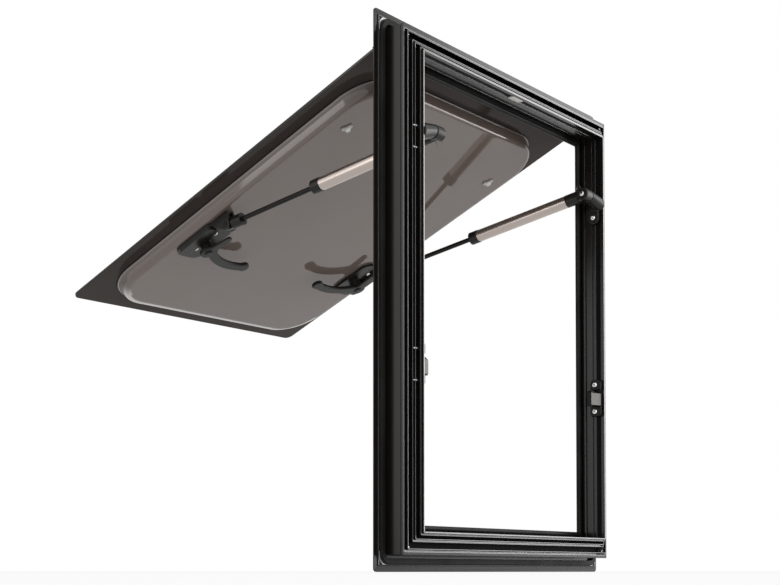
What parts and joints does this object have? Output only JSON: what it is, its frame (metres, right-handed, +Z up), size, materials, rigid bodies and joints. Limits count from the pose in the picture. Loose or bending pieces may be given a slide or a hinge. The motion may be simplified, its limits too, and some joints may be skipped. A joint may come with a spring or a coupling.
{
  "type": "caravan window",
  "caption": "Top-hung caravan window: mitred black frame with a wall liner and a bulb seal, tinted double acrylic sash on telescopic stays, with turning latch levers.",
  "frame": {"origin": "on the flange face that seats on the outside of the wall, at the middle of the bottom side", "axes": "+Y out of the window, +Z up, +X to the right as seen from inside"},
  "size_m": [0.484, 0.5238, 0.59],
  "materials": {
    "frame_black": "black powder coat",
    "cleat": "mill finish",
    "seal": "matt",
    "fitting_black": "satin",
    "clip_grey": "satin",
    "wear_metal": "brushed",
    "outer_acrylic": "tinted, polished",
    "inner_acrylic": "tinted, polished",
    "plug_white": "satin",
    "pin_steel": "bright zinc",
    "stay_champagne": "satin anodised",
    "rod_black": "black oxide"
  },
  "bodies": {
    "frame": {"outer_frame_bottom": "frame_black", "outer_frame_right": "frame_black", "outer_frame_top": "frame_black", "outer_frame_left": "frame_black", "wall_gasket": "seal", "inner_frame_bottom": "frame_black", "inner_frame_right": "frame_black", "inner_frame_top": "frame_black", "inner_frame_left": "frame_black", "corner_cleats": "cleat", "frame_seal": "seal", "hinge_rail": "frame_black", "rail_clip": "clip_grey", "catch_left": "fitting_black", "wear_plate_left": "wear_metal", "stay_bracket_left": "fitting_black", "catch_right": "fitting_black", "wear_plate_right": "wear_metal", "stay_bracket_right": "fitting_black"},
    "sash": {"outer_pane": "outer_acrylic", "inner_pane": "inner_acrylic", "hinge_strip": "frame_black", "vent_plugs": "plug_white", "latch_base_left": "fitting_black", "stay_pin_left": "pin_steel", "lever_pin_left": "fitting_black", "latch_base_right": "fitting_black", "stay_pin_right": "pin_steel", "lever_pin_right": "fitting_black"},
    "lever_left": {"lever_left": "fitting_black"},
    "stay_rod_left": {"stay_rod_left": "rod_black", "rod_end_left": "fitting_black"},
    "stay_tube_left": {"stay_tube_left": "stay_champagne", "stay_cap_left": "fitting_black", "stay_knuckle_left": "fitting_black"},
    "lever_right": {"lever_right": "fitting_black"},
    "stay_rod_right": {"stay_rod_right": "rod_black", "rod_end_right": "fitting_black"},
    "stay_tube_right": {"stay_tube_right": "stay_champagne", "stay_cap_right": "fitting_black", "stay_knuckle_right": "fitting_black"}
  },
  "joints": [
    {"name": "sash_hinge", "type": "hinge", "parent": "frame", "child": "sash", "pos_m": [0, 0.007, 0.5655], "axis": [1, 0, 0], "range_deg": [-64.8, 0]},
    {"name": "stay_swing_left", "type": "hinge", "parent": "sash", "child": "stay_rod_left", "pos_m": [-0.166, 0.2685, 0.40487], "axis": [1, 0, 0], "range_deg": [-13.75, 0]},
    {"name": "stay_slide_left", "type": "slide", "parent": "stay_rod_left", "child": "stay_tube_left", "axis": [0, -0.9799, 0.1994], "range_m": [-0.09715, 0]},
    {"name": "lever_turn_left", "type": "hinge", "parent": "sash", "child": "lever_left", "pos_m": [-0.15, 0.31491, 0.38138], "axis": [0, -0.4258, -0.9048], "range_deg": [0, 90]},
    {"name": "stay_swing_right", "type": "hinge", "parent": "sash", "child": "stay_rod_right", "pos_m": [0.166, 0.2685, 0.40487], "axis": [1, 0, 0], "range_deg": [-13.75, 0]},
    {"name": "stay_slide_right", "type": "slide", "parent": "stay_rod_right", "child": "stay_tube_right", "axis": [0, -0.9799, 0.1994], "range_m": [-0.09715, 0]},
    {"name": "lever_turn_right", "type": "hinge", "parent": "sash", "child": "lever_right", "pos_m": [0.15, 0.31491, 0.38138], "axis": [0, 0.4258, 0.9048], "range_deg": [0, 90]}
  ],
  "couplings": [
    {"joint": "stay_swing_left", "follows": "sash_hinge", "ratio": 0.2114},
    {"joint": "stay_slide_left", "follows": "sash_hinge", "m_per_rad": 0.085812},
    {"joint": "stay_swing_right", "follows": "sash_hinge", "ratio": 0.2114},
    {"joint": "stay_slide_right", "follows": "sash_hinge", "m_per_rad": 0.085812}
  ]
}
